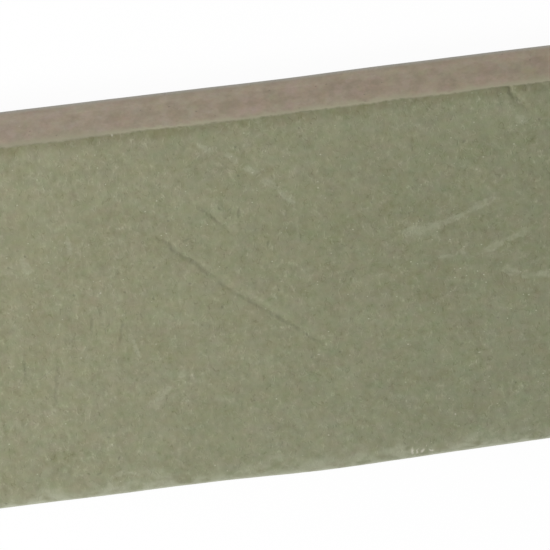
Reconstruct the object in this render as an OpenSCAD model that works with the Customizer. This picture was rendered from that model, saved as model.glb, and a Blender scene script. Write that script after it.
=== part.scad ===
// Long brick-format wall tile: a pressed body, glazed on its face, with a plain keyed back.
// It lies flat on its back. X runs along the length, Y across the width, Z up through the thickness.
// The origin is the centre of the back, on the surface that the tile lies on.

/* [Format] */
// Length of the tile
tile_l = 300; // [120:5:600]
// Width of the tile
tile_w = 75; // [50:2.5:200]
// Thickness, from the back's ribs to the flat of the face
tile_t = 9; // [6:0.5:14]

/* [Edges] */
// Height of the tapered foot, from the back up to the press line
foot_h = 2.6; // [1:0.1:4]
// How far the back's outline steps in from the widest outline
foot_in = 0.4; // [0.1:0.1:1.2]
// Radius of the arc that rolls the face down to the sides
lip_r = 4; // [3:0.25:6]
// How far the rolled lip runs in over the face
lip_w = 2.4; // [1:0.2:2.8]
// Radius of the tile's four upright corners
corner_r = 1.2; // [0.5:0.1:4]

/* [Back key] */
// Side of one square pocket in the back
pocket = 14; // [8:1:24]
// Width of the rib left between two pockets
rib = 3; // [2:0.5:8]
// Least plain border left round the pockets
border = 4.5; // [3:0.5:10]
// Depth of the pockets
key_depth = 0.6; // [0.3:0.1:1.2]

/* [Hidden] */
$fn = 96;
glaze_green = [0.54, 0.54, 0.44];
over = 1;                                        // how far a cutting shape runs past what it cuts
lip_h = lip_r - sqrt(lip_r * lip_r - lip_w * lip_w);
land_top = tile_t - lip_h;                       // where the side land meets the rolled lip
pitch = pocket + rib;
pockets_along = pockets_in(tile_l);
pockets_across = pockets_in(tile_w);

// How many pockets fit along one side of the tile, inside the border
function pockets_in(side) = floor((side - 2 * border + rib) / pitch);

// Where pocket number i sits, counted from the middle of a row of n
function pocket_at(i, n) = (i - (n - 1) / 2) * pitch;

// Half of a cross-section, from the middle line out to one side. half is half of that side-to-side size
module half_section(half) {
    square([half - lip_w, tile_t]);
    polygon([[0, 0], [half - foot_in, 0], [half, foot_h], [half, land_top], [0, land_top]]);
    intersection() {
        translate([half - lip_w, tile_t - lip_r]) circle(lip_r);
        translate([half - lip_w - over, land_top - over]) square([lip_w + over, lip_h + over]);
    }
}

// The whole cross-section, standing on its back
module section(size) {
    half_section(size / 2);
    mirror([1, 0]) half_section(size / 2);
}

// The section of one pair of sides, run out past the other pair
module prism(size, run) {
    rotate([90, 0, 0]) linear_extrude(run + 2 * over, center = true) section(size);
}

// The outline seen from above, with its rounded corners
module outline() {
    square([tile_l, tile_w - 2 * corner_r], center = true);
    square([tile_l - 2 * corner_r, tile_w], center = true);
    for (x = [-1, 1], y = [-1, 1])
        translate([x * (tile_l / 2 - corner_r), y * (tile_w / 2 - corner_r)]) circle(corner_r);
}

// The shallow square pockets that give the adhesive its key
module key_pockets() {
    for (i = [0 : pockets_along - 1], j = [0 : pockets_across - 1])
        translate([pocket_at(i, pockets_along), pocket_at(j, pockets_across), (key_depth - over) / 2])
            cube([pocket, pocket, key_depth + over], center = true);
}

module tile() {
    color(glaze_green)
        difference() {
            intersection() {
                prism(tile_l, tile_w);
                rotate([0, 0, 90]) prism(tile_w, tile_l);
                translate([0, 0, -over]) linear_extrude(tile_t + 2 * over) outline();
            }
            key_pockets();
        }
}

tile();
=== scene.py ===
import math

import bpy
from mathutils import Matrix, Vector


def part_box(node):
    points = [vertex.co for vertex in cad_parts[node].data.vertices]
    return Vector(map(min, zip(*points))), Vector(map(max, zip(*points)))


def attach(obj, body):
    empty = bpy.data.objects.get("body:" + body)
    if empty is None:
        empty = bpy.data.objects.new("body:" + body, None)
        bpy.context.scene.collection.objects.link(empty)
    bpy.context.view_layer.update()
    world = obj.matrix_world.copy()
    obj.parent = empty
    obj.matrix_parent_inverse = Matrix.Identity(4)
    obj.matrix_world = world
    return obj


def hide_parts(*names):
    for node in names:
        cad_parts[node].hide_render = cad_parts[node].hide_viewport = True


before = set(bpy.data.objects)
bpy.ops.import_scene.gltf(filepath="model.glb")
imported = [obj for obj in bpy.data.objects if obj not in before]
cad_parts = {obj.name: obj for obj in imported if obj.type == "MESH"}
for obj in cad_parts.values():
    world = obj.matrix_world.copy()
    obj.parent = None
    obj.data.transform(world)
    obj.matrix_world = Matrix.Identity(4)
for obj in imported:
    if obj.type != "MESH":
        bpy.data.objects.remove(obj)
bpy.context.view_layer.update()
tileLow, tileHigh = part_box("tile")
mm = 0.001
tiny = 0.001  # keeps a divisor off zero
seedStep = (17.3, 9.1, 5.7)  # how far apart two seeds read the same noise
print("frame: tile %.1f x %.1f x %.1f mm" % tuple((tileHigh - tileLow) / mm))


def plug(tree, node, inputs):
    # a value is another node's output, or a plain number, vector, colour or object
    for key, value in inputs.items():
        if isinstance(value, bpy.types.NodeSocket):
            tree.links.new(value, node.inputs[key])
        else:
            node.inputs[key].default_value = value


def addNode(tree, kind, inputs=None, **settings):
    node = tree.nodes.new(kind)
    for name, value in settings.items():
        setattr(node, name, value)
    plug(tree, node, inputs or {})
    return node


def made(tree, kind, inputs=None, **settings):
    # a new node's first output
    return addNode(tree, kind, inputs, **settings).outputs[0]


def calc(tree, operation, *values, clamp=False):
    return made(tree, "ShaderNodeMath", dict(enumerate(values)), operation=operation, use_clamp=clamp)


def plus(tree, a, b):
    return calc(tree, "ADD", a, b)


def minus(tree, a, b):
    return calc(tree, "SUBTRACT", a, b)


def times(tree, a, b):
    return calc(tree, "MULTIPLY", a, b)


def over(tree, a, b):
    return calc(tree, "DIVIDE", a, b)


def timesPlus(tree, a, b, c):
    return calc(tree, "MULTIPLY_ADD", a, b, c)


def addParts(tree, total, *parts):
    # each part is a value and its weight
    for value, weight in parts:
        total = timesPlus(tree, value, weight, total)
    return total


def absolute(tree, a):
    return calc(tree, "ABSOLUTE", a)


def larger(tree, a, b):
    return calc(tree, "MAXIMUM", a, b)


def hypotenuse(tree, a, b):
    return calc(tree, "SQRT", plus(tree, times(tree, a, a), times(tree, b, b)))


def vectorCalc(tree, operation, *values):
    node = addNode(tree, "ShaderNodeVectorMath", dict(enumerate(values)), operation=operation)
    return node.outputs["Value" if operation in ("DOT_PRODUCT", "LENGTH") else "Vector"]


def scaleVector(tree, vector, factor):
    return made(tree, "ShaderNodeVectorMath", {"Vector": vector, "Scale": factor}, operation="SCALE")


def combine(tree, x, y, z):
    return made(tree, "ShaderNodeCombineXYZ", {0: x, 1: y, 2: z})


def separate(tree, vector):
    return addNode(tree, "ShaderNodeSeparateXYZ", {0: vector}).outputs


def noise(tree, place, size, seed, detail=2.0, roughness=0.5):
    # signed noise, roughly -1 to 1. size is the width of one bump, in the unit that place is in
    moved = vectorCalc(tree, "ADD", place, scaleVector(tree, seedStep, seed))
    grey = made(tree, "ShaderNodeTexNoise", {"Vector": moved, "Scale": 1 / size, "Detail": detail,
                                             "Roughness": roughness})
    return timesPlus(tree, grey, 4.0, -2.0)


def wander(tree, value, place, amount, *kind):
    # lets a value wander by the amount, with a noise of that size and seed
    return timesPlus(tree, noise(tree, place, *kind), amount, value)


def ramp(tree, value, low, high, outLow=0.0, outHigh=1.0):
    # a soft step from outLow to outHigh as value goes from low to high
    return made(tree, "ShaderNodeMapRange",
                {"Value": value, "From Min": low, "From Max": high, "To Min": outLow, "To Max": outHigh},
                interpolation_type="SMOOTHSTEP")


def fall(tree, value, low, high):
    return ramp(tree, value, low, high, 1.0, 0.0)


def bothWays(tree, value, low, high):
    # 1 where the value is past high, -1 where it is as far below zero, and 0 in between
    return minus(tree, ramp(tree, value, low, high), fall(tree, value, -high, -low))


def bell(tree, value, centre, reach):
    # 1 at the centre, fading to 0 a little past the reach on both sides
    offset = over(tree, minus(tree, value, centre), reach)
    return calc(tree, "EXPONENT", times(tree, times(tree, offset, offset), -1.0))


tile = {  # millimetres
    "lipRadius": 4,  # arc that rolls the face down to the sides
    "lipRun": 2.4,
    "sectionSteps": (5, 4, 7, 2, 3, 3),  # on the lip, its arris, the side, the press line, foot and heel
    "footHeight": 2.6,  # press line above the back
    "footInset": 0.4,
    "cornerRadius": 1.2,
    "leastRadius": 0.01,  # the corners' radius where the lip begins
    "arrisTrim": 0.2,  # how far a sharp section corner is softened along both its sides
    "backLand": 0.8,  # width of the rim's last strip, flat on the back
    "backRun": 99,  # the back counts as far past the end of the glaze
    "pocket": 14,
    "pocketCorner": 1.3,
    "pocketSteps": 3,  # on each of its corners
    "pocketTaper": 0.25,
    "pocketDepth": 0.6,
    "rib": 3,
    "border": 4.5,
    "weld": 0.01,  # points nearer than this become one
    "gridStep": 0.62,  # spacing of the face's mesh
    "seed": 7,
    "faceWaves": 0.1,  # long soft undulation of the face
    "waveSize": 30,
    "hammer": 0.022,  # short undulation
    "dimpleSize": 5,
    "wearFade": (0.4, 3.5),  # both fade in this far above the back
    "edgeWaver": 0.07,  # how far the outline wanders in plan
    "waverSize": 22,
    "waverFade": (1.5, 9),  # it fades out this far in from the edge
    "sideGap": 200,  # how far apart the sides read their noise, so that they differ
    "bowDepth": 0.2,  # a slight bend of both long sides
    "bowFar": 1.4,  # how much more of it the far side has
    "bowPlace": -3,
    "bowReach": 12,
    "hollowDepth": 0.8,  # shallow hollow in the far edge
    "hollowPlace": -50,
    "hollowReach": 20,
    "driftReach": 60,  # half the run of the slow change along the tile
}

# the shape's inputs that are lengths, with their values above
lengthInputs = ("Lip run", "Corner radius", "Grid step", "Face waves", "Hammer", "Edge waver", "Bow place",
                "Bow reach", "Bow depth", "Hollow place", "Hollow reach", "Hollow depth", "Pocket",
                "Pocket corner", "Pocket taper", "Pocket depth", "Rib", "Border")

crease = {  # across a fold, from its line, counted in millimetres to its left
    "depth": 0.125,
    "dropStep": (-0.65, 0.3),
    "lip": 0.165,  # the rise on its left: a steep part, and a gentle one for the rest
    "steepShare": 0.6,
    "steepStep": (0.15, 1.3),
    "gentleStep": (0.3, 2.6),
    "fade": (1.6, 3.3),
    "bend": (0.26, 1.5, 43),  # how far the line wanders, then the size and seed of that
    "shapeShare": 0.5,  # the part of each crease that the shape itself takes on
    "finishShare": 0.75,  # and the part that the finish adds, finer than the mesh
    "edgeFade": (2, 2.6),  # where a crease ends on the rolled lip
    "uneven": (0.6, 2.2, 45),  # how its depth varies, like the bend
    "endFade": (0.2, 1.2),  # past its first and last point
    "shade": (-0.08, 0.32),  # its line of painted shade, place and reach
}

# x, y in millimetres on the face, then how deep the mark is there. The raised lip lies on the line's left
creases = [
    [(17.6, -16.8, 0.2), (16.4, -15.6, 0.6), (15.2, -14.4, 1), (14.4, -12.5, 1.25), (12.9, -10.9, 1.25),
     (11.7, -9.8, 1.1), (10.5, -8.1, 0.8), (9.5, -7, 0.85), (8.2, -5.2, 0.8), (7, -3.7, 0.9),
     (5.5, -2.1, 1), (4, -0.6, 1), (2.5, 1.1, 0.9), (0.7, 2.9, 0.95), (-0.8, 4.5, 0.8),
     (-2.3, 6.3, 0.9), (-3.5, 7.6, 0.8), (-4.8, 9.1, 0.7), (-6, 10.3, 0.4), (-6.6, 10.9, 0.1)],
    [(10.4, -21.5, 0.3), (9.4, -20.6, 0.9), (8.5, -19.2, 1.1), (7.7, -18, 0.8), (6.7, -16.6, 0.4),
     (6.2, -15.6, 0.1)],
    [(-37.3, -38.5, 1.3), (-38, -36.8, 1.4), (-38.6, -35.3, 1.2), (-39.4, -33.9, 0.7),
     (-40.3, -32.9, 0.1)],
]

# x, y, half the length and the direction in degrees, counted from the tile's length
nicks = [
    (4.2, -19, 1.2, 80), (6.9, -20.4, 0.5, 110), (12.4, -14.8, 0.8, 28), (0.3, -11.9, 0.8, 70),
    (18.5, -3.6, 0.5, 90), (17.8, -10, 0.4, 60), (8.4, 0, 0.4, 90), (-12, -9, 0.4, 20),
    (34.9, 12.8, 6.5, 82), (24, 2.4, 3.3, 79), (-27, 14, 0.5, 50), (-30.5, -28, 0.5, 35),
    (26.8, 29.1, 0.5, 60), (30.2, 32, 0.6, 20), (22.7, -5.5, 0.35, 90), (30.3, -6.1, 0.35, 90),
    (36.8, -15.4, 0.35, 90), (-22.7, -12.9, 0.35, 40), (-8.4, 12.3, 0.35, 60), (28.2, 0.6, 2.2, 84),
    (39.2, 7.6, 2.4, 88),
]

# x, y, then half the width of the pale rub mark there
scuffs = [
    [(-21, -10.3, 1.4), (-22.6, -10.8, 1.3), (-24.4, -11.2, 1.05), (-26.2, -11.8, 0.8),
     (-27.6, -12.3, 0.55), (-29, -13, 0.45), (-30.4, -13.8, 0.5), (-31.6, -14.6, 0.95),
     (-32.6, -15, 1.1), (-33.6, -15.5, 0.7)],
    [(-32.3, -5.3, 0.8), (-33.4, -5.9, 1.1)], [(-34.7, -6.6, 0.6), (-36.1, -7, 0.6)],
    [(-37.4, -7.7, 0.8), (-38.4, -8.1, 0.9)], [(-28.5, -5.3, 0.6), (-29.3, -4.2, 0.8)],
    [(-25, -4.8, 0.5), (-26.8, -4.7, 0.5)], [(-35, -0.4, 0.9), (-35.8, 0.2, 0.9)],
    [(-37.2, 1.3, 0.5), (-38.9, 1.3, 0.7), (-40.9, 1.3, 0.8)], [(8.8, -33.7, 0.5), (7.6, -32.8, 0.5)],
    [(4.9, -31.2, 0.6), (4.2, -30.4, 0.6), (3.7, -29.5, 0.6)], [(2.1, -27.8, 0.7), (1.3, -26.8, 0.9)],
    [(-0.2, -25.1, 0.6), (-1.3, -23.9, 0.7)], [(-2.3, -22.3, 0.4), (-3, -20.9, 0.5), (-4, -19.9, 0.4)],
    [(20.6, 18.6, 0.9), (19.6, 17.4, 0.8)], [(18.5, 16.1, 0.8), (17.9, 15.6, 0.7)],
    [(15.9, 13.2, 0.6), (15.3, 12.6, 0.6)], [(10.4, 19, 1), (10, 19.2, 1)],
    [(37.2, -14.8, 0.7), (36.8, -12.4, 0.8)], [(30.2, -18.4, 0.3), (30.1, -15, 0.5)],
    [(22.4, 4.8, 0.4), (22, 8, 0.4)], [(-38.9, -31.4, 1), (-39.4, -30.6, 1)],
    [(28.6, 33.1, 0.3), (27.6, 32.6, 0.5), (26.5, 32.3, 0.5), (25.4, 32.5, 0.4), (24.4, 33.2, 0.3)],
]

# bright little chips in the rolled edge, given like the nicks
chips = [
    (-17.6, 35.3, 0.9, 92), (-19.1, 35.7, 0.7, 60), (-20.6, 35.8, 0.3, 10), (21.6, -37.4, 0.35, 90),
]

# pale grains that stand out in the face, given like the nicks
grits = [
    (-29.4, 16.1, 0.3, 0), (26.4, -5.9, 0.3, 60), (-8, -22.2, 0.25, 90), (-5.1, 12.4, 0.25, 0),
    (-24.7, 28.6, 0.25, 90), (1.5, -26.9, 0.2, 0), (4.3, -30.7, 0.2, 90),
]

# the name and the spacing of the points, then how far past them the mark is felt: a share of the mark's
# number, and millimetres
markFields = {
    "Creases": ("crease", 0.15, 0, 3.2),
    "Nicks": ("nick", 1, 1.1, 0.15),
    "Scuffs": ("scuff", 0.15, 1.3, 0.4),
    "Chips": ("chip", 1, 1.1, 0),
    "Grits": ("grit", 1, 0, 0.9),
}
markFade = (0.0, 0.4)


def softCorner(before, corner, after, steps):
    # a quadratic curve that leaves one side and joins the next
    parts = [i / steps for i in range(steps + 1)]
    return [before * (1 - t) ** 2 + corner * 2 * t * (1 - t) + after * t ** 2 for t in parts]


def spread(start, end, steps):
    # the points strictly between start and end
    return [start.lerp(end, i / steps) for i in range(1, steps)]


def sectionPoints():
    # one point for each ring of the rim: how far out from the flat of the face, and how high
    radius, run = tile["lipRadius"], tile["lipRun"]
    top = tileHigh.z / mm
    trim = tile["arrisTrim"]
    turn = math.asin(run / radius) - trim / radius
    lipSteps, arrisSteps, sideSteps, pressSteps, footSteps, heelSteps = tile["sectionSteps"]
    points = []
    for i in range(lipSteps + 1):
        angle = turn * i / lipSteps
        points.append(Vector((radius * math.sin(angle), top - radius * (1 - math.cos(angle)))))
    arris = Vector((run, top - radius + math.sqrt(radius ** 2 - run ** 2)))
    press = Vector((run, tile["footHeight"]))
    heel = Vector((run - tile["footInset"], 0))
    last = Vector((heel.x - tile["backLand"], 0))
    down = Vector((0, -trim))
    foot = (heel - press).normalized() * trim
    points += softCorner(points.pop(), arris, arris + down, arrisSteps)
    points += spread(arris + down, press - down, sideSteps)
    points += softCorner(press - down, press, press + foot, pressSteps)
    points += spread(press + foot, heel - foot, footSteps)
    points += softCorner(heel - foot, heel, heel - Vector((trim, 0)), heelSteps)
    return points + [last]


def addObject(name, data):
    ob = bpy.data.objects.new(name, data)
    bpy.context.scene.collection.objects.link(ob)
    return ob


def curveObject(name, lines):
    # a helper curve in metres. Each line is a list of x, y, z, radius
    data = bpy.data.curves.new(name, "CURVE")
    data.dimensions = "3D"
    for line in lines:
        spline = data.splines.new("POLY")
        spline.points.add(len(line) - 1)
        for point, (x, y, z, radius) in zip(spline.points, line):
            point.co = (x, y, z, 1)
            point.radius = radius
    return addObject(name, data)


def markCurve(name, marks):
    return curveObject(name, [[(x * mm, y * mm, tileHigh.z, r) for x, y, r in line] for line in marks])


def spotCurve(name, marks):
    # each spot is a tiny line that starts at its centre and points the way the spot is drawn out
    lines, length = [], 0.01
    for x, y, half, turn in marks:
        angle = math.radians(turn)
        end = (x + length * math.cos(angle), y + length * math.sin(angle), half)
        lines.append([(x, y, half), end])
    return markCurve(name, lines)


def join(tree, *parts):
    node = addNode(tree, "GeometryNodeJoinGeometry")
    for part in parts:
        tree.links.new(part, node.inputs[0])
    return node.outputs[0]


def sampleAt(tree, geometry, value, index, kind="FLOAT_VECTOR"):
    return made(tree, "GeometryNodeSampleIndex", {"Geometry": geometry, "Value": value, "Index": index},
                data_type=kind)


def store(tree, geometry, name, value):
    return made(tree, "GeometryNodeStoreNamedAttribute",
                {"Geometry": geometry, "Name": name, "Value": value})


def pointGrid(tree, spans, counts):
    return made(tree, "GeometryNodeMeshGrid", {"Size X": spans[0], "Size Y": spans[1],
                                               "Vertices X": counts[0], "Vertices Y": counts[1]})


def wrapRim(tree, sizes):
    # a flat grid whose outer rings are folded round the lip, down the side and on to the back
    position = made(tree, "GeometryNodeInputPosition")
    at = separate(tree, position)
    flats, steps, spans, counts, outward = [], [], [], [], []
    for i, side in enumerate((sizes["Length"], sizes["Width"])):
        flats.append(minus(tree, times(tree, side, 0.5), sizes["Lip run"]))
        across = times(tree, flats[i], 2.0)
        count = calc(tree, "ROUND", over(tree, across, sizes["Grid step"]))
        steps.append(over(tree, across, count))
        cells = plus(tree, count, times(tree, sizes["Rings"], 2.0))
        spans.append(times(tree, steps[i], cells))
        counts.append(plus(tree, cells, 1.0))
        outward.append(over(tree, minus(tree, absolute(tree, at[i]), flats[i]), steps[i]))
    grid = pointGrid(tree, spans, counts)
    ring = calc(tree, "ROUND", larger(tree, larger(tree, *outward), 0.0))
    section = addNode(tree, "GeometryNodeObjectInfo", {"Object": sizes["Section"]}).outputs["Geometry"]
    place = sampleAt(tree, section, position, ring)
    along = addNode(tree, "GeometryNodeSplineParameter").outputs["Length"]
    run = sampleAt(tree, section, along, ring, "FLOAT")
    offset, _, height = separate(tree, place)
    # the upright corners: their radius grows with the lip
    grow = calc(tree, "DIVIDE", offset, sizes["Lip run"], clamp=True)
    radius = larger(tree, times(tree, grow, sizes["Corner radius"]), tile["leastRadius"] * mm)
    straight, cores, past = [], [], []
    for i in (0, 1):
        half = plus(tree, flats[i], offset)
        straight.append(over(tree, times(tree, at[i], half), timesPlus(tree, ring, steps[i], flats[i])))
        cores.append(minus(tree, half, radius))
        past.append(minus(tree, absolute(tree, straight[i]), cores[i]))
    shrink = over(tree, radius, larger(tree, hypotenuse(tree, *past), tiny * mm))
    rounded = [times(tree, calc(tree, "SIGN", at[i]), timesPlus(tree, past[i], shrink, cores[i]))
               for i in (0, 1)]
    inCorner = times(tree, *[calc(tree, "GREATER_THAN", value, 0.0) for value in past])
    inCorner = times(tree, inCorner, calc(tree, "GREATER_THAN", ring, 0.5))
    moved = addNode(tree, "ShaderNodeMix", {"Factor": inCorner, 4: combine(tree, *straight, height),
                                            5: combine(tree, *rounded, height)}, data_type="VECTOR")
    kept = store(tree, grid, "edgeRun", over(tree, run, mm))
    return made(tree, "GeometryNodeSetPosition", {"Geometry": kept, "Position": moved.outputs[1]})


def foldProfile(tree, place, side):
    # across a fold in the clay, in millimetres: it drops on the line and climbs to a low rise on its left
    side = wander(tree, side, place, *crease["bend"])
    drop = times(tree, ramp(tree, side, *crease["dropStep"]), -crease["depth"])
    steep = ramp(tree, side, *crease["steepStep"])
    gentle = times(tree, ramp(tree, side, *crease["gentleStep"]), 1 - crease["steepShare"])
    lift = timesPlus(tree, steep, crease["steepShare"], gentle)
    climb = timesPlus(tree, lift, crease["lip"], drop)
    return times(tree, climb, fall(tree, absolute(tree, side), *crease["fade"])), side


def named(tree, name):
    return made(tree, "GeometryNodeInputNamedAttribute", {"Name": name})


def markField(tree, geometry, marks, name, spacing, share, reach):
    # stores where each point lies beside the nearest mark: to its left, along it, and the mark's number
    position = made(tree, "GeometryNodeInputPosition")
    curve = addNode(tree, "GeometryNodeObjectInfo", {"Object": marks}).outputs["Geometry"]
    curve = store(tree, curve, "strength", made(tree, "GeometryNodeInputRadius"))
    points = addNode(tree, "GeometryNodeCurveToPoints", {"Curve": curve, "Length": spacing * mm},
                     mode="LENGTH").outputs["Points"]
    level = vectorCalc(tree, "ADD", vectorCalc(tree, "MULTIPLY", position, (1, 1, 0)), (0, 0, tileHigh.z))
    near = made(tree, "GeometryNodeSampleNearest", {"Geometry": points, "Sample Position": level})
    centre = sampleAt(tree, points, position, near)
    tangent = sampleAt(tree, points, points.node.outputs["Tangent"], near)
    strength = sampleAt(tree, points, named(tree, "strength"), near, "FLOAT")
    away = scaleVector(tree, vectorCalc(tree, "SUBTRACT", level, centre), 1 / mm)
    left = vectorCalc(tree, "CROSS_PRODUCT", (0, 0, 1), tangent)
    geometry = store(tree, geometry, name + "Side", vectorCalc(tree, "DOT_PRODUCT", away, left))
    geometry = store(tree, geometry, name + "Along", vectorCalc(tree, "DOT_PRODUCT", away, tangent))
    guard = timesPlus(tree, strength, share, reach)
    past = minus(tree, vectorCalc(tree, "LENGTH", away), guard)
    kept = times(tree, strength, fall(tree, past, *markFade))
    return store(tree, geometry, name + "Strength", kept)


def wearSurface(tree, geometry, sizes):
    # hand-made unevenness, faded out towards the back so that the tile still lies flat
    position = made(tree, "GeometryNodeInputPosition")
    normal = made(tree, "GeometryNodeInputNormal")
    seed = sizes["Seed"]
    x, y, z = separate(tree, position)
    start, end = tile["wearFade"]
    clear = ramp(tree, z, start * mm, end * mm)
    waves = times(tree, noise(tree, position, tile["waveSize"] * mm, seed, 1.0), sizes["Face waves"])
    dimples = noise(tree, position, tile["dimpleSize"] * mm, plus(tree, seed, 3.0))
    rise = times(tree, plus(tree, waves, times(tree, dimples, sizes["Hammer"])), clear)
    fold, _ = foldProfile(tree, scaleVector(tree, position, 1 / mm), named(tree, "creaseSide"))
    fold = times(tree, fold, named(tree, "creaseStrength"))
    fold = times(tree, fold, fall(tree, named(tree, "edgeRun"), *crease["edgeFade"]))
    rise = timesPlus(tree, fold, sizes["Crease share"], rise)
    bumped = made(tree, "GeometryNodeSetPosition",
                  {"Geometry": geometry, "Offset": scaleVector(tree, normal, rise)})
    farSide = calc(tree, "GREATER_THAN", y, 0.0)
    gap = tile["sideGap"] * mm
    lengthwise = combine(tree, x, times(tree, calc(tree, "SIGN", y), gap), 0.0)
    crosswise = combine(tree, times(tree, calc(tree, "SIGN", x), gap), y, 2 * gap)
    waverY, waverX = [times(tree, noise(tree, at, tile["waverSize"] * mm, seed), sizes["Edge waver"])
                      for at in (lengthwise, crosswise)]
    bow = times(tree, bell(tree, x, sizes["Bow place"], sizes["Bow reach"]), sizes["Bow depth"])
    bow = times(tree, bow, timesPlus(tree, farSide, tile["bowFar"], 1.0))
    hollow = times(tree, bell(tree, x, sizes["Hollow place"], sizes["Hollow reach"]), sizes["Hollow depth"])
    hollow = times(tree, hollow, farSide)
    start, end = tile["waverFade"]
    near = []
    for side, at in ((sizes["Length"], x), (sizes["Width"], y)):
        inward = minus(tree, times(tree, side, 0.5), absolute(tree, at))
        near.append(fall(tree, inward, start * mm, end * mm))
    outY = minus(tree, plus(tree, waverY, bow), hollow)
    shift = combine(tree, times(tree, waverX, near[0]), times(tree, outY, near[1]), 0.0)
    return made(tree, "GeometryNodeSetPosition", {"Geometry": bumped, "Offset": shift})


def fitCount(tree, side, sizes):
    # how many pockets fit along one side, inside the border
    room = minus(tree, side, times(tree, sizes["Border"], 2.0))
    pitch = plus(tree, sizes["Pocket"], sizes["Rib"])
    return calc(tree, "FLOOR", over(tree, plus(tree, room, sizes["Rib"]), pitch))


def onEach(tree, places, shape):
    copies = made(tree, "GeometryNodeInstanceOnPoints", {"Points": places, "Instance": shape})
    return made(tree, "GeometryNodeRealizeInstances", {"Geometry": copies})


def closeBack(tree, rim, sizes):
    # fills the ring left open on the back, with the pockets let into it
    pitch = plus(tree, sizes["Pocket"], sizes["Rib"])
    counts = [fitCount(tree, side, sizes) for side in (sizes["Length"], sizes["Width"])]
    places = pointGrid(tree, [times(tree, pitch, minus(tree, count, 1.0)) for count in counts], counts)
    square = made(tree, "GeometryNodeCurvePrimitiveQuadrilateral",
                  {"Width": sizes["Pocket"], "Height": sizes["Pocket"]})
    mouth = made(tree, "GeometryNodeFilletCurve",
                 {"Curve": square, "Count": tile["pocketSteps"], "Radius": sizes["Pocket corner"]},
                 mode="POLY")
    mouths = onEach(tree, places, mouth)
    neighbours = made(tree, "GeometryNodeInputMeshEdgeNeighbors")
    openEdges = made(tree, "FunctionNodeCompare", {2: neighbours, 3: 1}, data_type="INT",
                     operation="EQUAL")
    outer = made(tree, "GeometryNodeMeshToCurve", {"Mesh": rim, "Selection": openEdges})
    sheet = made(tree, "GeometryNodeFillCurve", {"Curve": join(tree, outer, mouths)}, mode="TRIANGLES")
    sheet = made(tree, "GeometryNodeFlipFaces", {"Mesh": sheet})
    lid = made(tree, "GeometryNodeFillCurve", {"Curve": mouth}, mode="NGONS")
    lid = made(tree, "GeometryNodeFlipFaces", {"Mesh": lid})
    cup = addNode(tree, "GeometryNodeExtrudeMesh",
                  {"Mesh": lid, "Offset": combine(tree, 0.0, 0.0, 1.0),
                   "Offset Scale": sizes["Pocket depth"]}, mode="FACES")
    position = made(tree, "GeometryNodeInputPosition")
    taper = minus(tree, 1.0, over(tree, times(tree, sizes["Pocket taper"], 2.0), sizes["Pocket"]))
    narrowed = vectorCalc(tree, "MULTIPLY", position, combine(tree, taper, taper, 1.0))
    cup = made(tree, "GeometryNodeSetPosition",
               {"Geometry": cup.outputs["Mesh"], "Selection": cup.outputs["Top"], "Position": narrowed})
    back = join(tree, sheet, onEach(tree, places, cup))
    back = store(tree, back, "edgeRun", tile["backRun"])
    return made(tree, "GeometryNodeSetShadeSmooth", {"Geometry": back, "Shade Smooth": False})


def buildTileTree():
    tree = bpy.data.node_groups.new("pressedTile", "GeometryNodeTree")
    inputs = {"Float": ("Length", "Width", "Seed", "Crease share", *lengthInputs), "Int": ("Rings",),
              "Object": ("Section", *markFields), "Material": ("Finish",)}
    for kind, names in inputs.items():
        for name in names:
            tree.interface.new_socket(name, in_out="INPUT", socket_type="NodeSocket" + kind)
    tree.interface.new_socket("Tile", in_out="OUTPUT", socket_type="NodeSocketGeometry")
    sizes = addNode(tree, "NodeGroupInput").outputs
    rim = wrapRim(tree, sizes)
    for marks, field in markFields.items():
        rim = markField(tree, rim, sizes[marks], *field)
    rim = wearSurface(tree, rim, sizes)
    rim = made(tree, "GeometryNodeSetShadeSmooth", {"Geometry": rim, "Shade Smooth": True})
    whole = join(tree, rim, closeBack(tree, rim, sizes))
    sealed = made(tree, "GeometryNodeMergeByDistance", {"Geometry": whole, "Distance": tile["weld"] * mm})
    real = made(tree, "GeometryNodeRealizeInstances", {"Geometry": sealed})
    finished = made(tree, "GeometryNodeSetMaterial", {"Geometry": real, "Material": sizes["Finish"]})
    tree.links.new(finished, addNode(tree, "NodeGroupOutput").inputs[0])
    return tree


def valueOf(name):
    # "Lip run" is stored as lipRun
    return tile[name[0].lower() + name.title().replace(" ", "")[1:]]


def makeTile(finish):
    section = sectionPoints()
    helpers = {
        "Section": curveObject("sectionLine", [[(p.x * mm, 0, p.y * mm, 1) for p in section]]),
        "Creases": markCurve("creaseLines", creases),
        "Nicks": spotCurve("nickSpots", nicks),
        "Scuffs": markCurve("scuffLines", scuffs),
        "Chips": spotCurve("chipSpots", chips),
        "Grits": spotCurve("gritSpots", grits),
    }
    tree = buildTileTree()
    values = {
        "Length": tileHigh.x - tileLow.x,
        "Width": tileHigh.y - tileLow.y,
        "Rings": len(section) - 1,
        "Seed": float(tile["seed"]),
        "Crease share": crease["shapeShare"] * mm,
        "Finish": finish,
        **helpers,
        **{name: valueOf(name) * mm for name in lengthInputs},
    }
    holder = addObject("tileHolder", bpy.data.meshes.new("tileHolder"))
    modifier = holder.modifiers.new("pressedTile", "NODES")
    modifier.node_group = tree
    for item in tree.interface.items_tree:
        if item.in_out == "INPUT":
            modifier[item.identifier] = values[item.name]
    holder.update_tag()
    evaluated = holder.evaluated_get(bpy.context.evaluated_depsgraph_get())
    mesh = bpy.data.meshes.new_from_object(evaluated)
    mesh.name = "glazedTile"
    piece = addObject("glazed_tile", mesh)
    for ob in (holder, *helpers.values()):
        bpy.data.objects.remove(ob)
    print("shape: %d points, %d faces" % (len(mesh.vertices), len(mesh.polygons)))
    return piece


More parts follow.
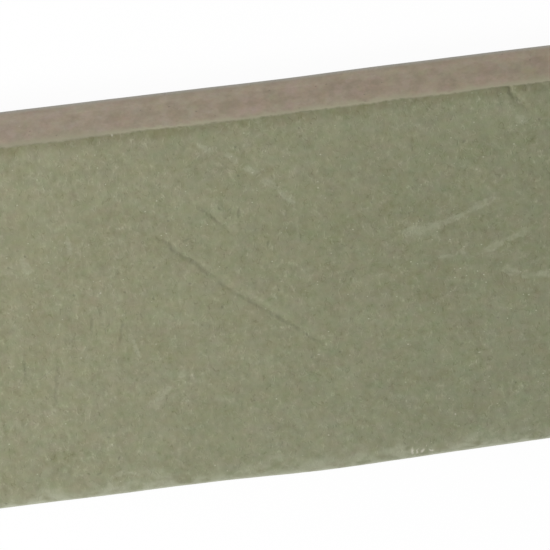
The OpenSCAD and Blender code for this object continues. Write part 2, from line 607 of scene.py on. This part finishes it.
# colours are linear and sizes are millimetres. A noise is its bump size, seed, detail and roughness, and a
# wander has an amount before these. A step is its start and end, then its two values if not 0 and 1. A belt
# is its place and reach. Cells are their spacing, the part that carry a spot, and its reach
glaze = {
    "mallow": (0.216, 0.188, 0.128),
    "fern": (0.181, 0.212, 0.103),
    "amber": (0.212, 0.197, 0.101),
    "slate": (0.185, 0.203, 0.130),
    "sheen": (0.199, 0.200, 0.160),  # what a lighter place adds to the colour
    "pale": (0.350, 0.361, 0.258),
    "chip": (0.470, 0.455, 0.360),
    "pit": (0.100, 0.100, 0.060),
    "thinEdge": (0.338, 0.320, 0.219),  # where the coat runs out over the top of the side
    "roughness": 0.56,
    "pinkNoise": (2.6, 11, 4, 0.75),
    "pink": (0.5, 0.51, 0.06),  # its share, and what the noise and the two ends add
    "pinkLip": 0.11,
    "warmNoise": (3.6, 13, 4, 0.75),
    "warm": (0.5, 0.42, 0.18),
    "warmLip": 0.14,
    "warmStep": (-5, 35, 0, -0.15),  # less of it towards the far side
    "grainNoise": (0.8, 3, 2, 0.55),
    "grainCurve": (0.4, 1.5, 0.5),  # the strength of faint grains, of strong ones, and of pale ones on top
    "grainRun": 1.35,  # how much longer the grain is across the tile than along it
    "grainTone": 0.084,
    "grainRise": 0.012,
    "busyWander": (0.75, 3.5, 19),  # the grain is stronger in some places
    "hammerNoise": (1.8, 5, 2, 0.55),
    "hammerTone": 0.078,
    "hammerRise": 0.03,
    "hammerShine": 0.04,
    "blotchNoise": (1.1, 6, 3, 0.55),
    "blotchStep": (0.17, 0.32),
    "blotchTone": 0.04,
    "crawlNoise": (1.3, 51, 1),
    "crawlPick": (1.17, 53, 1),  # which of them are raised
    "crawlStep": (0.2, 0.45),
    "crawlWidth": 0.145,
    # painted light on the crawl lines: painted shade in the sunken ones, a painted highlight on the raised
    # ones
    "crawlPaintedLight": 0.155,
    "crawlRise": 0.02,
    "patchNoise": (7, 8, 3),
    "patchTone": 0.062,
    "streakRun": 5,  # how much longer streaks are across the tile than along it
    "streakNoise": (0.7, 9, 1),
    "streakStep": (0.15, 0.8),
    "streakTone": 0.13,
    "sparseNoise": (5, 10),  # where streaks show, more of them towards one end
    "sparseStep": (-0.3, 0.6),
    "sparseEnd": (-5, 20, 0.3, 1),
    "drawNoise": (1.7, 12),  # broader streaks at that end
    "drawStep": (5, 30),
    "drawTone": 0.06,
    "driftPaintedLight": 0.055,  # painted light: the tile is painted lighter towards the end nearer the key lamp, and it is a little warmer there
    "cloudAlong": (-24, 15),  # a broad cloud, a little darker
    "cloudAcross": (-10, 12),
    "cloudTone": 0.045,
    "nearStep": (-30, -18, 0.016, -0.012),  # the near side is a little lighter
    "lipWander": (0.5, 5, 15),
    "lipStep": (0.5, 1.8),
    "lipSide": (-10, 10),
    "lipPaintedShade": 0.12,  # painted shade on the near side's rolled lip, which faces away from the key lamp
    "hazeWander": (2.4, 5, 17, 3, 0.6),  # the coat is thinner, in paler patches, along the far side
    "hazeStep": (32.4, 37),
    "gapNoise": (2.6, 18, 3),
    "gapStep": (-0.7, 0.5),
    "hazeEnds": ((-30, -10, 0.55, 0), (5, 25, 0, 0.32)),  # more of it to both sides
    "hazePale": 0.51,
    "rimWander": (0.3, 1.5, 16),
    "rimStep": (1.2, 2.3),
    "rimSide": (20, 30),
    "rimEnds": 1.25,
    # thin glaze and painted light: the far rim is painted paler where it faces the key lamp
    "rimPaleAndLit": 0.58,
    "speckCells": (0.9, 0.3, 0.17),
    "pitCells": (1.9, 0.22, 0.14),
    "pitOffset": (31, 17, 5),
    "pitDark": 0.35,
    "pitDepth": 0.03,
    "scuffWander": (0.7, 1.4, 41, 4, 0.7),
    "scuffEdge": (0.4, 1.2),
    "scuffNoise": (1, 42),
    "scuffStep": (-0.3, 0.2, 0.55, 1),  # what is left of a scuff in its weakest places
    "scuffPale": 0.33,
    "scuffShine": 0.1,
    "spotBend": (2.3, 49),
    "bendBy": (0.08, 0.035),  # the least, and what a longer spot adds
    "spotFray": (0.7, 47),
    "spotStep": (0.1, 1.25),
    "spotFaint": (0.9, 3, 1, 0.65),  # long spots are fainter
    "spotWiden": 0.02,
    "nickSpot": (0.3, 0.2),  # half its width, and how frayed it is
    "chipSpot": (0.24, 0.4),
    "gritSpot": (0.15, 0.2),
    "nickDark": 0.3,
    "nickDepth": 0.06,
    "chipPale": 0.9,
    "chipDepth": 0.02,
    "gritPale": 0.6,
    # painted shade in the creases' grooves, blended towards the pit colour
    "creasePaintedShade": 0.14,
    "coat": 0.03,  # how thick the coat stands on the body
    "edgePlace": 2.47,  # how far down the rolled lip the coat reaches
    "edgeFray": (0.14, 0.9, 31, 3, 0.65),
    "edgeWander": (0.1, 5, 33),
    "edgeDrift": -0.03,
    "edgeBelt": (0, 16),  # it reaches a little further in the middle
    "edgeLonger": 0.05,
    "edgeSoft": 0.19,
    "thinFray": (1.2, 34, 3, 0.65),  # the thin, pale end of the coat
    "thinFrayBy": 0.45,
    "thinStart": 0.1,
    "thinReach": 1.8,  # how far it reaches on down the side
    "thinWander": (0.9, 7, 36),
    "thinNoise": (6, 37),
    "thinTone": 0.08,
    "thinGrain": 0.06,
    "thinEndStep": (0, 0.45, -0.05, 0),
    "thinSideStep": (10, 32, 0.02, -0.06),
    "thinBelt": (17, 9),
    "thinBeltTone": 0.07,
    "beadBelt": (0.12, 0.13),  # a fine pale line on the coat's very end, in some places
    "beadNoise": (3.5, 38, 3),
    "beadSide": (12, 26, 0.3, -0.3),
    "beadStep": (-0.3, 0.4),
    "beadTone": 0.08,
}

body = {
    "rose": (0.369, 0.270, 0.222),
    "buff": (0.317, 0.306, 0.210),
    "ash": (0.343, 0.287, 0.249),
    "straw": (0.343, 0.289, 0.181),
    "dark": (0.270, 0.225, 0.163),
    "sheen": (0.319, 0.287, 0.245),
    "pit": (0.150, 0.118, 0.088),
    "fleck": (0.430, 0.385, 0.310),
    "dust": (0.450, 0.445, 0.400),
    "roughness": 0.86,
    "redNoise": (2.6, 24, 4, 0.75),
    "red": (0.52, 0.85, 0.03),  # like the glaze's pink
    "greyNoise": (2.8, 25, 4, 0.75),
    "grey": (0.48, 0.62, 0.1),
    "mottleNoise": (2, 21, 4, 0.62),
    "mottleStep": (-0.5, 0.6),
    "mottleTone": 0.62,
    "mottleRise": 0.02,
    "mottleShine": 0.03,
    "grainNoise": (0.6, 27, 3, 0.6),
    "grainTone": 0.06,
    "grainRise": 0.01,
    "cloudNoise": (4.5, 29, 1),
    "cloudTone": 0.06,
    "pitCells": (1.4, 0.32, 0.19),
    "pitDark": 0.5,
    "pitDepth": 0.04,
    "fleckCells": (2.4, 0.25, 0.11),
    "fleckOffset": (13, 7, 29),
    "fleckPale": 0.5,
    "pressLine": 8.2,  # where the smooth, calmer foot begins, along the section
    "footWander": (0.8, 2, 28, 3),
    "footStart": 0.9,
    "footEnd": 0.5,
    # the smoother foot is a little paler, and it is painted lighter still, as painted light, where the
    # floor shades the base
    "footPaleAndLit": 0.1,
    "footCalm": 0.35,
    "seamReach": 0.16,  # a fine pale line on it, in some places
    "seamNoise": (14, 26, 1),
    "seamStep": (0, 0.5),
    "seamTone": 0.06,
    "belt": (6, 1.8),  # a darker belt above it
    "beltTone": 0.025,
    "wholeTone": 0.025,
    # painted light: the side is painted lighter towards the end nearer the key lamp
    "driftPaintedLight": 0.036,
    "heelBelt": (10.6, 0.55),  # where the side meets the back, on an edge that is rubbed paler
    "heelPale": 0.8,
}


def stored(tree, name):
    return addNode(tree, "ShaderNodeAttribute", attribute_name=name).outputs["Fac"]


def blend(tree, factor, first, second):
    first, second = [(*value, 1) if isinstance(value, tuple) else value for value in (first, second)]
    node = addNode(tree, "ShaderNodeMix", {"Factor": factor, 6: first, 7: second}, data_type="RGBA")
    return node.outputs[2]


def brighten(tree, colour, sheen, amount):
    # amount 0.1 makes the colour about a tenth lighter, -0.1 a tenth darker
    return vectorCalc(tree, "ADD", colour, scaleVector(tree, sheen, amount))


def patches(tree, place, look, kind):
    return ramp(tree, noise(tree, place, *look[kind + "Noise"]), *look[kind + "Step"])


def hueShare(tree, place, drift, look, name):
    share, byNoise, byEnds = look[name]
    hue = noise(tree, place, *look[name + "Noise"])
    return addParts(tree, share, (hue, byNoise), (drift, byEnds))


spot = {  # sizes as parts of the reach
    "least": 0.5,
    "more": 0.7,  # what chance adds
    "soft": 0.6,  # the soft part of its edge
}


def spots(tree, place, spacing, share, reach):
    # scattered spots, and a random number for each. share: the part of the cells that carry one
    cells = addNode(tree, "ShaderNodeTexVoronoi", {"Vector": place, "Scale": 1 / spacing})
    pick = addNode(tree, "ShaderNodeSeparateColor", {0: cells.outputs["Color"]}).outputs
    size = timesPlus(tree, pick[1], reach * spot["more"], reach * spot["least"])
    inside = calc(tree, "SUBTRACT", 1.0, over(tree, cells.outputs["Distance"], size), clamp=True)
    lone = calc(tree, "LESS_THAN", pick[0], share)
    return times(tree, lone, ramp(tree, inside, 0.0, spot["soft"])), pick[2]


def endToEnd(tree, x):
    # -1 towards one end of the tile and 1 towards the other
    return ramp(tree, x, -tile["driftReach"], tile["driftReach"], -1.0, 1.0)


def foldShape(tree, place):
    climb, side = foldProfile(tree, place, stored(tree, "creaseSide"))
    strength = times(tree, stored(tree, "creaseStrength"), wander(tree, 1.0, place, *crease["uneven"]))
    past = absolute(tree, stored(tree, "creaseAlong"))
    strength = times(tree, strength, fall(tree, past, *crease["endFade"]))
    shade = times(tree, bell(tree, side, *crease["shade"]), strength)
    return times(tree, climb, times(tree, strength, crease["finishShare"])), shade


def spotShape(tree, place, name):
    # a long little spot, 1 in its middle, and a little wider when it is longer
    width, fray = glaze[name + "Spot"]
    least, more = glaze["bendBy"]
    half = larger(tree, stored(tree, name + "Strength"), tiny)
    along = over(tree, stored(tree, name + "Along"), half)
    bend = times(tree, noise(tree, place, *glaze["spotBend"]), timesPlus(tree, half, more, least))
    side = plus(tree, stored(tree, name + "Side"), bend)
    side = over(tree, side, timesPlus(tree, half, glaze["spotWiden"], width))
    far = wander(tree, hypotenuse(tree, along, side), place, fray, *glaze["spotFray"])
    return times(tree, fall(tree, far, *glaze["spotStep"]), ramp(tree, half, *glaze["spotFaint"]))


def scuffShape(tree, place):
    far = hypotenuse(tree, stored(tree, "scuffAlong"), stored(tree, "scuffSide"))
    far = over(tree, far, larger(tree, stored(tree, "scuffStrength"), tiny))
    far = wander(tree, far, place, *glaze["scuffWander"])
    return times(tree, fall(tree, far, *glaze["scuffEdge"]), patches(tree, place, glaze, "scuff"))


def farEdge(tree, place, x, y, edgeRun):
    # hazy patches along the far side, and the rim where the lip turns down, paler from thin glaze and with
    # painted light where it faces the key lamp
    haze = ramp(tree, wander(tree, y, place, *glaze["hazeWander"]), *glaze["hazeStep"])
    haze = times(tree, haze, patches(tree, place, glaze, "gap"))
    left, right = glaze["hazeEnds"]
    ends = plus(tree, ramp(tree, x, *left), ramp(tree, x, *right))
    haze = timesPlus(tree, haze, ends, haze)
    rim = ramp(tree, wander(tree, edgeRun, place, *glaze["rimWander"]), *glaze["rimStep"])
    rim = times(tree, rim, ramp(tree, y, *glaze["rimSide"]))
    rim = times(tree, rim, timesPlus(tree, ends, glaze["rimEnds"], 1.0))
    return timesPlus(tree, haze, glaze["hazePale"], times(tree, rim, glaze["rimPaleAndLit"]))


def crawlLines(tree, place):
    # short hair-thin lines the glaze has drawn into as it cooled: 1 on a sunken one, -1 on a raised one
    ground = absolute(tree, noise(tree, place, *glaze["crawlNoise"]))
    sign = bothWays(tree, noise(tree, place, *glaze["crawlPick"]), *glaze["crawlStep"])
    return times(tree, fall(tree, ground, 0.0, glaze["crawlWidth"]), sign)


def glazeLook(tree, place, edgeRun):
    x, y, z = separate(tree, place)
    grainPlace = combine(tree, x, over(tree, y, glaze["grainRun"]), z)
    streakPlace = combine(tree, x, over(tree, y, glaze["streakRun"]), z)
    faint, strong, light = glaze["grainCurve"]
    fine = noise(tree, grainPlace, *glaze["grainNoise"])
    heavy = timesPlus(tree, absolute(tree, fine), strong, faint)
    fine = times(tree, fine, timesPlus(tree, fine, light, heavy))
    grain = times(tree, fine, wander(tree, 1.0, place, *glaze["busyWander"]))
    hammer = noise(tree, grainPlace, *glaze["hammerNoise"])
    blotch = bothWays(tree, noise(tree, grainPlace, *glaze["blotchNoise"]), *glaze["blotchStep"])
    patch = noise(tree, place, *glaze["patchNoise"])
    sparse = times(tree, patches(tree, place, glaze, "sparse"), ramp(tree, x, *glaze["sparseEnd"]))
    streak = times(tree, patches(tree, streakPlace, glaze, "streak"), sparse)
    drawnOut = times(tree, noise(tree, streakPlace, *glaze["drawNoise"]), ramp(tree, x, *glaze["drawStep"]))
    crawl = crawlLines(tree, grainPlace)
    drift = endToEnd(tree, x)
    lip = ramp(tree, wander(tree, edgeRun, place, *glaze["lipWander"]), *glaze["lipStep"])
    lip = times(tree, lip, minus(tree, 1.0, ramp(tree, y, *glaze["lipSide"])))
    cloud = times(tree, bell(tree, x, *glaze["cloudAlong"]), bell(tree, y, *glaze["cloudAcross"]))
    speck, bright = spots(tree, place, *glaze["speckCells"])
    pit, _ = spots(tree, vectorCalc(tree, "ADD", place, glaze["pitOffset"]), *glaze["pitCells"])
    fold, shade = foldShape(tree, place)
    nick, chip, grit = [spotShape(tree, place, name) for name in ("nick", "chip", "grit")]
    scuff = scuffShape(tree, place)
    # the coat's colour and tone
    pink = timesPlus(tree, lip, glaze["pinkLip"], hueShare(tree, place, drift, glaze, "pink"))
    warm = plus(tree, hueShare(tree, place, drift, glaze, "warm"), ramp(tree, y, *glaze["warmStep"]))
    warm = timesPlus(tree, lip, glaze["warmLip"], warm)
    colour = blend(tree, 0.5, blend(tree, pink, glaze["fern"], glaze["mallow"]),
                   blend(tree, warm, glaze["slate"], glaze["amber"]))
    tone = addParts(tree, times(tree, grain, glaze["grainTone"]), (hammer, glaze["hammerTone"]),
                    (blotch, glaze["blotchTone"]), (patch, glaze["patchTone"]),
                    (streak, glaze["streakTone"]), (drawnOut, glaze["drawTone"]),
                    # the crawl lines, the drift and the lip bring painted light and painted shade into the
                    # tone
                    (crawl, -glaze["crawlPaintedLight"]), (drift, glaze["driftPaintedLight"]), (lip, -glaze["lipPaintedShade"]),
                    (cloud, -glaze["cloudTone"]))
    tone = plus(tree, tone, ramp(tree, y, *glaze["nearStep"]))
    colour = brighten(tree, colour, glaze["sheen"], tone)
    # the marks on it
    bare = timesPlus(tree, grit, glaze["gritPale"], times(tree, chip, glaze["chipPale"]))
    # painted shade along the creases, and the nicks darkened
    dark = timesPlus(tree, shade, glaze["creasePaintedShade"], times(tree, nick, glaze["nickDark"]))
    for amount, other in ((farEdge(tree, place, x, y, edgeRun), "pale"),
                          (times(tree, scuff, glaze["scuffPale"]), "pale"),
                          (times(tree, speck, bright), "pale"), (bare, "chip"),
                          (times(tree, pit, glaze["pitDark"]), "pit"), (dark, "pit")):
        colour = blend(tree, amount, colour, glaze[other])
    rise = addParts(tree, times(tree, grain, glaze["grainRise"]), (hammer, glaze["hammerRise"]),
                    (pit, -glaze["pitDepth"]), (crawl, -glaze["crawlRise"]))
    rise = addParts(tree, plus(tree, fold, rise), (nick, -glaze["nickDepth"]), (chip, -glaze["chipDepth"]))
    shine = addParts(tree, glaze["roughness"], (hammer, glaze["hammerShine"]), (scuff, glaze["scuffShine"]))
    return colour, rise, shine


def bodyLook(tree, place, edgeRun):
    mottle = noise(tree, place, *body["mottleNoise"])
    cloud = noise(tree, place, *body["cloudNoise"])
    grain = noise(tree, place, *body["grainNoise"])
    pit, _ = spots(tree, place, *body["pitCells"])
    fleck, _ = spots(tree, vectorCalc(tree, "ADD", place, body["fleckOffset"]), *body["fleckCells"])
    line = body["pressLine"]
    foot = ramp(tree, wander(tree, edgeRun, place, *body["footWander"]),
                line - body["footStart"], line + body["footEnd"])
    calm = timesPlus(tree, foot, -body["footCalm"], 1.0)
    seam = times(tree, bell(tree, edgeRun, line, body["seamReach"]), patches(tree, place, body, "seam"))
    belt = bell(tree, edgeRun, *body["belt"])
    drift = endToEnd(tree, separate(tree, place)[0])
    red = hueShare(tree, place, drift, body, "red")
    grey = hueShare(tree, place, drift, body, "grey")
    colour = blend(tree, 0.5, blend(tree, red, body["buff"], body["rose"]),
                   blend(tree, grey, body["straw"], body["ash"]))
    patch = times(tree, ramp(tree, mottle, *body["mottleStep"]), calm)
    colour = blend(tree, times(tree, patch, body["mottleTone"]), colour, body["dark"])
    tone = addParts(tree, times(tree, foot, body["footPaleAndLit"]), (grain, body["grainTone"]),
                    (belt, -body["beltTone"]))
    # the drift's share of this tone is painted light
    tone = addParts(tree, minus(tree, tone, body["wholeTone"]), (drift, body["driftPaintedLight"]),
                    (cloud, body["cloudTone"]), (seam, body["seamTone"]))
    colour = brighten(tree, colour, body["sheen"], tone)
    colour = blend(tree, times(tree, times(tree, pit, calm), body["pitDark"]), colour, body["pit"])
    colour = blend(tree, times(tree, fleck, body["fleckPale"]), colour, body["fleck"])
    heel = bell(tree, edgeRun, *body["heelBelt"])
    colour = blend(tree, times(tree, heel, body["heelPale"]), colour, body["dust"])
    rise = addParts(tree, times(tree, grain, body["grainRise"]), (mottle, body["mottleRise"]),
                    (pit, -body["pitDepth"]))
    return colour, rise, timesPlus(tree, mottle, body["mottleShine"], body["roughness"])


def thinEnd(tree, place, x, past):
    # the pale end of the coat, by how far it is past the coat's edge: where it is, and how light
    fray = noise(tree, place, *glaze["thinFray"])
    reach = wander(tree, glaze["thinReach"], place, *glaze["thinWander"])
    thin = timesPlus(tree, fray, glaze["thinFrayBy"], plus(tree, past, glaze["thinStart"]))
    thin = fall(tree, over(tree, thin, reach), 0.0, 1.0)
    tone = times(tree, noise(tree, place, *glaze["thinNoise"]), glaze["thinTone"])
    tone = timesPlus(tree, fray, glaze["thinGrain"], tone)
    tone = plus(tree, tone, ramp(tree, past, *glaze["thinEndStep"]))
    tone = plus(tree, tone, ramp(tree, x, *glaze["thinSideStep"]))
    bead = plus(tree, noise(tree, place, *glaze["beadNoise"]), ramp(tree, x, *glaze["beadSide"]))
    bead = times(tree, bell(tree, past, *glaze["beadBelt"]), ramp(tree, bead, *glaze["beadStep"]))
    tone = addParts(tree, tone, (bell(tree, x, *glaze["thinBelt"]), glaze["thinBeltTone"]),
                    (bead, glaze["beadTone"]))
    return thin, tone


def tileFinish():
    mat = bpy.data.materials.new("greenGlazeOnBrownBody")
    mat.use_nodes = True
    tree = mat.node_tree
    shader = tree.nodes["Principled BSDF"]
    place = scaleVector(tree, addNode(tree, "ShaderNodeTexCoord").outputs["Object"], 1 / mm)
    x = separate(tree, place)[0]
    edgeRun = stored(tree, "edgeRun")
    coatEnd = wander(tree, glaze["edgePlace"], place, *glaze["edgeWander"])
    coatEnd = wander(tree, coatEnd, place, *glaze["edgeFray"])
    coatEnd = addParts(tree, coatEnd, (endToEnd(tree, x), glaze["edgeDrift"]),
                       (bell(tree, x, *glaze["edgeBelt"]), glaze["edgeLonger"]))
    past = minus(tree, edgeRun, coatEnd)
    bare = ramp(tree, past, -glaze["edgeSoft"], glaze["edgeSoft"])
    coated = minus(tree, 1.0, bare)
    glazeColour, glazeRise, glazeShine = glazeLook(tree, place, edgeRun)
    bodyColour, bodyRise, bodyShine = bodyLook(tree, place, edgeRun)
    thin, tone = thinEnd(tree, place, x, past)
    thinColour = brighten(tree, glaze["thinEdge"], glaze["thinEdge"], tone)
    colour = blend(tree, bare, glazeColour, blend(tree, thin, bodyColour, thinColour))
    rise = plus(tree, times(tree, bodyRise, bare), times(tree, glazeRise, coated))
    rise = plus(tree, times(tree, coated, glaze["coat"]), rise)
    shine = made(tree, "ShaderNodeMix", {0: bare, 2: glazeShine, 3: bodyShine})
    bump = made(tree, "ShaderNodeBump", {"Height": rise, "Distance": mm})
    plug(tree, shader, {"Base Color": colour, "Roughness": shine, "Normal": bump})
    return mat


studio = {
    "elevation": 46.1,  # camera above the level of the tile
    "roll": 173.02,  # nearly upside down, so that the near side is at the top
    "lens": 800,
    "farthest": 100,  # what the camera still sees, in metres like the lamps and the floor
    "viewWidth": 82.8,  # millimetres across the view, and the place of its middle
    "aim": (0, -5.3),
    "keyPlace": (0.45, 0.11, 0.36),
    "keySize": 0.3,
    "keyPower": 3.2,
    "fillPlace": (0.12, -0.72, 0.26),
    "fillSize": 0.6,
    "fillPower": 1.7,
    "skyStrength": 0.42,
    "floorSize": 4,
    "floorColour": (0.92, 0.92, 0.92),
    "floorGlow": 0.95,  # the plain white part of its look. The rest shows the shadow
}


def makeCamera():
    data = bpy.data.cameras.new("studioCamera")
    data.lens = studio["lens"]
    data.clip_end = studio["farthest"]
    camera = addObject("studioCamera", data)
    rise = math.radians(studio["elevation"])
    back = Vector((0, -math.cos(rise), math.sin(rise)))
    distance = studio["viewWidth"] * mm * data.lens / data.sensor_width
    aim = Vector((studio["aim"][0] * mm, studio["aim"][1] * mm, tileHigh.z))
    roll = Matrix.Rotation(math.radians(studio["roll"]), 4, "Z")
    facing = (-back).to_track_quat("-Z", "Y").to_matrix().to_4x4()
    camera.matrix_world = Matrix.Translation(aim + back * distance) @ facing @ roll
    bpy.context.scene.camera = camera


def makeLamp(name):
    data = bpy.data.lights.new(name + "Lamp", "AREA")
    data.shape = "SQUARE"
    data.size = studio[name + "Size"]
    data.energy = studio[name + "Power"]
    lamp = addObject(name + "Lamp", data)
    lamp.location = studio[name + "Place"]
    lamp.rotation_euler = (-lamp.location).to_track_quat("-Z", "Y").to_euler()


def seenPart(tree):
    # 1 for what the camera, a gloss or a clear material sees, 0 for what only lights the tile
    path = addNode(tree, "ShaderNodeLightPath").outputs
    seen = larger(tree, path["Is Camera Ray"], path["Is Glossy Ray"])
    return larger(tree, seen, path["Is Transmission Ray"])


def makeSky():
    world = bpy.data.worlds.new("softSky")
    bpy.context.scene.world = world
    world.use_nodes = True
    tree = world.node_tree
    dim = studio["skyStrength"]
    strength = timesPlus(tree, seenPart(tree), 1.0 - dim, dim)
    plug(tree, tree.nodes["Background"], {"Strength": strength, "Color": (1, 1, 1, 1)})


def makeFloor():
    half = studio["floorSize"] / 2
    mesh = bpy.data.meshes.new("paleFloor")
    corners = [(-half, -half, 0), (half, -half, 0), (half, half, 0), (-half, half, 0)]
    mesh.from_pydata(corners, [], [(0, 1, 2, 3)])
    floor = addObject("paleFloor", mesh)
    mat = bpy.data.materials.new("paleFloor")
    mat.use_nodes = True
    tree = mat.node_tree
    shader = tree.nodes["Principled BSDF"]
    plug(tree, shader, {"Base Color": (*studio["floorColour"], 1), "Roughness": 1.0,
                        "Specular IOR Level": 0.0})
    glow = made(tree, "ShaderNodeEmission", {"Color": (1, 1, 1, 1), "Strength": 1.0})
    share = times(tree, seenPart(tree), studio["floorGlow"])
    mix = made(tree, "ShaderNodeMixShader", {0: share, 1: shader.outputs[0], 2: glow})
    plug(tree, tree.nodes["Material Output"], {"Surface": mix})
    mesh.materials.append(mat)


bpy.context.scene.view_settings.view_transform = "Standard"
print("finish: glaze and bare body")
finish = tileFinish()
piece = makeTile(finish)
print("studio: camera, lamps, sky and floor")
makeCamera()
makeLamp("key")
makeLamp("fill")
makeSky()
makeFloor()
print("hand over")
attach(piece, "root")
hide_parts("tile")
